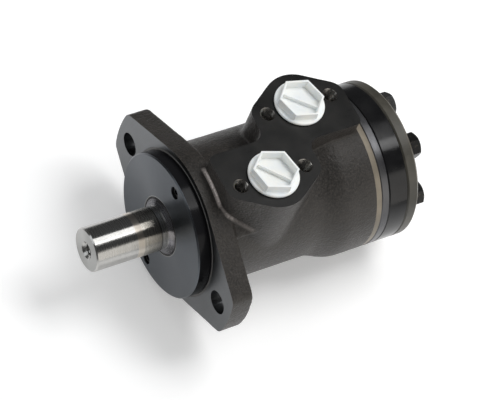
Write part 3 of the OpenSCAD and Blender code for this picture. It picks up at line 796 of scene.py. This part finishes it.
def cut_bores(obj):
    """Recess, spigot seat, spool bore, flange holes, cover screw holes and end cover bolt holes."""
    boolean(obj, spin([(-OVER, 0), (-OVER, RECESS_R), (RECESS_DEPTH, RECESS_R), (RECESS_DEPTH, SPIGOT_R),
                       (SPIGOT_DEPTH, SPIGOT_R), (SPIGOT_DEPTH, RACE_HOLE_R), (RACE_HOLE_DEPTH, RACE_HOLE_R),
                       (RACE_HOLE_DEPTH, SPOOL_BORE_R), (HOUSING_L + OVER, SPOOL_BORE_R),
                       (HOUSING_L + OVER, 0)]))
    for side in (-1, 1):
        boolean(obj, rod_x(-OVER, FLANGE_T + 3 * MM, FLANGE_HOLE_R, side * FLANGE_PITCH / 2))
        boolean(obj, rod_x(-OVER, COVER_SCREW_DEPTH, COVER_SCREW_HOLE_R, 0, side * COVER_SCREW_R, 32))
    for k in range(BOLT_N):
        a = FIRST_BOLT + k * BOLT_STEP
        boolean(obj, rod_x(BOLT_HOLE_X, HOUSING_L + OVER, BOLT_HOLE_R, BOLT_CIRCLE_R * math.cos(a),
                           BOLT_CIRCLE_R * math.sin(a), 32))
    return obj


def cut_ports(obj):
    """Threaded ports with their seals' seats, threaded manifold screw holes and the drain's bore."""
    screw = thread_cutter(SCREW_R, SCREW_R + 0.65 * MM, M8_PITCH, SCREW_DEPTH, 0.35 * MM)
    port = thread_cutter(PORT_BORE_R - 0.1 * MM, PORT_BORE_R + 0.95 * MM, PORT_PITCH, PORT_DEPTH,
                         0.7 * MM, 72)
    seat_top = 3 * MM
    spot = moved(spin([(0, 0), (0, SPOT_R), (seat_top, SPOT_R), (seat_top, 0)]), UPWARDS)
    for centre in PORTS.values():
        boolean(obj, moved(spot, at(*centre)))
        boolean(obj, moved(port, at(*centre)))
        for side in (-1, 1):
            boolean(obj, moved(screw, at(centre.x + side * SCREW_PITCH / 2, centre.y, PORT_Z)))
    drain = moved(spin([(-DRAIN_DEPTH, 0), (-DRAIN_DEPTH, DRAIN_BORE_R), (OVER, DRAIN_BORE_R), (OVER, 0)]),
                  at(*DRAIN) @ DOWNWARDS)
    return boolean(obj, drain)


HOUSING_SLOTS = ("cast_body", "port_face", "flange_face", "turned_band", "bare_thread")
CAST, PORT_FACE, FLANGE_FACE, TURNED_BAND, BARE_THREAD = range(len(HOUSING_SLOTS))
FACING = 0.99           # a face whose normal's share along an axis is above this looks that way


def paint_housing(obj):
    """Machined faces and bores get their own finishes; the rest stays cast."""
    mesh = obj.data
    mesh.materials.clear()
    for name in HOUSING_SLOTS:
        mesh.materials.append(MATERIALS[name])
    count = len(mesh.polygons)
    centre = np.empty(count * 3)
    normal = np.empty(count * 3)
    mesh.polygons.foreach_get("center", centre)
    mesh.polygons.foreach_get("normal", normal)
    centre, normal = centre.reshape(-1, 3), normal.reshape(-1, 3)
    radius = np.hypot(centre[:, 1], centre[:, 2])
    index = np.full(count, CAST)
    index[(abs(centre[:, 2] - PORT_Z) < TINY) & (normal[:, 2] > FACING)] = PORT_FACE
    index[(centre[:, 0] < TINY) & (normal[:, 0] < -FACING)] = FLANGE_FACE
    rear = (centre[:, 0] > HOUSING_L - BAND_W - 0.4 * MM) & (radius < BAND_R + 0.1 * MM)
    index[rear] = TURNED_BAND
    for point in PORTS.values():
        paint_port(index, centre, normal, point)
    for side in (-1, 1):
        near = np.hypot(centre[:, 1] - side * FLANGE_PITCH / 2, centre[:, 2]) < FLANGE_HOLE_R + 0.1 * MM
        index[near & (centre[:, 0] > TINY)] = FLANGE_FACE
    index[(radius < SPIGOT_R + 0.1 * MM) & (centre[:, 0] > TINY)] = BARE_THREAD
    mesh.polygons.foreach_set("material_index", index)
    return obj


def paint_port(index, centre, normal, point):
    """Bare threads in a port and its two screw holes, and the seat's finish round the port."""
    reach = 22 * MM
    screw_edge = SCREW_R + 0.8 * MM
    inside = (centre[:, 2] < PORT_Z - TINY) & (centre[:, 2] > PORT_Z - reach)
    for dx, r in ((0, PORT_BORE_R + 1.2 * MM), (-SCREW_PITCH / 2, screw_edge), (SCREW_PITCH / 2, screw_edge)):
        near = np.hypot(centre[:, 0] - point.x - dx, centre[:, 1] - point.y) < r
        index[near & inside] = BARE_THREAD
    seat = np.hypot(centre[:, 0] - point.x, centre[:, 1] - point.y) < SPOT_R + TINY
    index[seat & (abs(centre[:, 2] - SPOT_Z) < TINY) & (normal[:, 2] > FACING)] = PORT_FACE


housing = paint_housing(shade_by_angle(cut_ports(cut_bores(cut_faces(raw_casting())))))
housing.name = "housing_casting"
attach(housing, "root")
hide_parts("housing")

# ---------------------------------------------------------------- output shaft


def cad_copy(node, name):
    """A welded copy of a CAD node's mesh, to add detail to."""
    obj = bpy.data.objects.new(name, frame["nodes"][node].data.copy())
    bpy.context.scene.collection.objects.link(obj)
    return clean(obj)


shaft = cad_copy("output_shaft", "shaft_with_thread")
CENTRE_THREAD_L = 18 * MM
CENTRE_THREAD_X = SHAFT_LOW.x + 1.2 * MM
hole = thread_cutter(CENTRE_HOLE_R + 0.04 * MM, CENTRE_HOLE_R + 0.65 * MM, M8_PITCH, CENTRE_THREAD_L,
                     0.2 * MM)
boolean(shaft, moved(hole, at(CENTRE_THREAD_X, 0, 0) @ UPWARDS))
shade_by_angle(shaft, 28)
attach(shaft, "shaft")
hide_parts("output_shaft")

# ---------------------------------------------------------------- port plugs


PLUG_FLANGE_R = 14.25 * MM
PLUG_FLANGE_H = 1.6 * MM
PLUG_HEX_R = 13.2 * MM
PLUG_HEX_H = 4.6 * MM
PLUG_WALL = 1.45 * MM
PLUG_DRAFT = 0.25 * MM
PLUG_BORE_R = 7.9 * MM
PLUG_THREAD_L = 10 * MM
WEB_W = 1.1 * MM
WEB_H = 2.0 * MM


def hexagon(turn, r0, r1, z0, z1):
    """Six-sided prism, or a tapered one, about the Z axis."""
    angles = [turn + math.pi / 3 * k for k in range(6)]
    verts = [(r * math.cos(a), r * math.sin(a), z) for r, z in ((r0, z0), (r1, z1)) for a in angles]
    faces = [tuple(reversed(range(6))), tuple(range(6, 12))]
    faces += [(k, (k + 1) % 6, 6 + (k + 1) % 6, 6 + k) for k in range(6)]
    return verts, faces


def plug_head(name, turn, hex_z, top):
    """Flange and hollow hexagon with a web across it."""
    flange_z = hex_z - PLUG_FLANGE_H
    cos_30 = math.cos(math.pi / 6)
    disc = [(flange_z, 0), (flange_z, PLUG_FLANGE_R), (hex_z - 0.5 * MM, PLUG_FLANGE_R),
            (hex_z, PLUG_FLANGE_R - 0.6 * MM), (hex_z, 0)]
    obj = new_object(name, *moved(spin(disc, 96), UPWARDS))
    boolean(obj, hexagon(turn, PLUG_HEX_R, PLUG_HEX_R - PLUG_DRAFT, hex_z - OVER, top), "UNION")
    pocket_r = PLUG_HEX_R - PLUG_WALL / cos_30
    boolean(obj, hexagon(turn, pocket_r - PLUG_DRAFT, pocket_r + PLUG_DRAFT, hex_z - 0.5 * MM, top + OVER))
    web_l = PLUG_HEX_R * cos_30 - PLUG_WALL / 2
    web = box_solid((-WEB_W / 2, -web_l, hex_z - OVER), (WEB_W / 2, web_l, hex_z + WEB_H))
    boolean(obj, moved(web, Matrix.Rotation(turn, 4, "Z")), "UNION")
    clean(obj, 1e-5)
    return rounded(obj, 0.28 * MM, 30, 3)


def plug_shank(flange_z, top):
    """Threaded shank up to just under the flange's lower face."""
    thread = thread_cutter(PORT_BORE_R - 0.35 * MM, PORT_BORE_R + 0.75 * MM, PORT_PITCH, PLUG_THREAD_L,
                           0.0, 72)
    obj = new_object("shank", *moved(thread, at(0, 0, SPOT_Z)))
    return boolean(obj, box_solid((-PLUG_FLANGE_R, -PLUG_FLANGE_R, flange_z - 0.1 * MM),
                                  (PLUG_FLANGE_R, PLUG_FLANGE_R, top)))


def plug_solid(name, node, turn):
    """Moulded transport plug: threaded hollow shank, flange, hollow hexagon with a web across it."""
    low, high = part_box(node)
    centre = (low + high) / 2
    hex_z = high.z - PLUG_HEX_H
    head = plug_head(name, turn, hex_z, high.z)
    shank = plug_shank(hex_z - PLUG_FLANGE_H, high.z)
    for obj in (head, shank):
        obj.data.transform(at(centre.x, centre.y, 0))
    bore_top = SPOT_Z - 0.2 * MM
    bore = spin([(low.z - OVER, 0), (low.z - OVER, PLUG_BORE_R), (bore_top, PLUG_BORE_R), (bore_top, 0)], 64)
    boolean(shank, moved(bore, at(centre.x, centre.y, 0) @ UPWARDS))
    pieces = []
    for obj in (head, shank):
        mesh = obj.data
        pieces.append(([tuple(v.co) for v in mesh.vertices], [tuple(f.vertices) for f in mesh.polygons]))
        bpy.data.objects.remove(obj)
    whole = new_object(name, *joined(*pieces))
    whole.data.materials.append(MATERIALS["plug_white"])
    return shade_by_angle(whole, 40)


for port, turn in (("a", 41), ("b", 46)):
    node = "port_plug_" + port
    plug = plug_solid("moulded_plug_" + port, node, math.radians(turn))
    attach(plug, "plug_" + port)
    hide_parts(node)

# ---------------------------------------------------------------- stage, light and camera

TARGET = (CAD_LOW + CAD_HIGH) / 2
FLOOR_SIZE = 1.2        # from the origin to each edge
FLOOR_FADE = (0.14, 0.42)
FLOOR_GLOW = 0.26
SKY = (0.98, 0.99, 1.0, 1)


def floor_paint():
    """Pale paper that glows a little, so that it stays near white in the motor's shade, and fades out."""
    p = Paint("floor", (0.90, 0.90, 0.90), 0.9)
    p.rough(p.remap(p.noise(3.0), 0.3, 0.7, 0.85, 0.95))
    p.shader.inputs["Emission Color"].default_value = (1, 1, 1, 1)
    p.shader.inputs["Emission Strength"].default_value = FLOOR_GLOW
    x, y, _ = p.split()
    dx = p.math("SUBTRACT", x, TARGET.x)
    away = p.length(dx, y)
    p.plug(p.shader.inputs["Alpha"], p.remap(away, *FLOOR_FADE, 1.0, 0.0))
    return p.material


floor_corners = [(x * FLOOR_SIZE, y * FLOOR_SIZE, CAD_LOW.z) for x, y in ((-1, -1), (1, -1), (1, 1), (-1, 1))]
floor = new_object("floor", floor_corners, [(0, 1, 2, 3)])
floor.data.materials.append(floor_paint())


def softbox(name, direction, distance, size, radiance, colour=(1, 1, 1), mirrored=True):
    """Rectangular light that faces the motor; radiance is its brightness as seen in a mirror."""
    light = bpy.data.lights.new(name, "AREA")
    light.shape = "RECTANGLE"
    light.size, light.size_y = size
    light.energy = radiance * math.pi * size[0] * size[1]
    light.color = colour
    obj = bpy.data.objects.new(name, light)
    aim = Vector(direction).normalized()
    obj.location = TARGET + aim * distance
    obj.rotation_euler = (-aim).to_track_quat("-Z", "Y").to_euler()
    obj.visible_camera = False
    obj.visible_glossy = mirrored
    bpy.context.scene.collection.objects.link(obj)


softbox("key_light", (0.34, 0.01, 0.86), 0.95, (0.52, 0.32), 4.0)
softbox("key_side", (0.50, -0.19, 0.86), 0.95, (0.19, 0.26), 3.6)
softbox("top_fill", (0.45, -0.02, 0.86), 1.1, (0.75, 0.50), 3.4, mirrored=False)
softbox("side_light", (0.30, -0.95, 0.18), 1.0, (1.6, 0.75), 1.1, (1.0, 0.97, 0.92))
softbox("front_light", (-0.90, 0.30, 0.35), 1.1, (0.6, 0.5), 1.5, (0.94, 0.97, 1.0))
softbox("back_light", (0.20, 0.92, 0.45), 1.2, (1.0, 0.5), 1.3, mirrored=False)


def world_light(strengths):
    """An even sky: one strength behind the motor, one in its reflections and one for the light it gives."""
    world = bpy.data.worlds.new("studio")
    bpy.context.scene.world = world
    world.use_nodes = True
    tree = world.node_tree
    path = tree.nodes.new("ShaderNodeLightPath")
    shader = tree.nodes["Background"]
    shader.inputs["Color"].default_value = SKY
    shader.inputs["Strength"].default_value = strengths["lights"]
    result = shader.outputs[0]
    for ray, key in (("Is Glossy Ray", "mirrors"), ("Is Camera Ray", "camera")):
        other = tree.nodes.new("ShaderNodeBackground")
        other.inputs["Color"].default_value = SKY
        other.inputs["Strength"].default_value = strengths[key]
        mix = tree.nodes.new("ShaderNodeMixShader")
        tree.links.new(path.outputs[ray], mix.inputs[0])
        tree.links.new(result, mix.inputs[1])
        tree.links.new(other.outputs[0], mix.inputs[2])
        result = mix.outputs[0]
    tree.links.new(result, tree.nodes["World Output"].inputs[0])


world_light({"lights": 0.35, "mirrors": 0.07, "camera": 1.0})
bpy.context.scene.view_settings.view_transform = "Standard"

CAMERA_PLACE = (-0.5669, -0.5235, 1.1208)
CAMERA_RIGHT = (0.85142, -0.45905, 0.25368)
CAMERA_FORWARD = (0.44555, 0.37788, -0.81160)

camera = bpy.data.cameras.new("camera")
camera.sensor_width = 36
camera.lens = 180
camera.clip_start = 0.05
camera.clip_end = 30
camera_obj = bpy.data.objects.new("camera", camera)
camera_forward = Vector(CAMERA_FORWARD).normalized()
camera_up = Vector(CAMERA_RIGHT).cross(camera_forward).normalized()
camera_right = camera_forward.cross(camera_up)
camera_turn = Matrix((camera_right, camera_up, -camera_forward)).transposed().to_4x4()
camera_obj.matrix_world = at(*CAMERA_PLACE) @ camera_turn
bpy.context.scene.collection.objects.link(camera_obj)
bpy.context.scene.camera = camera_obj
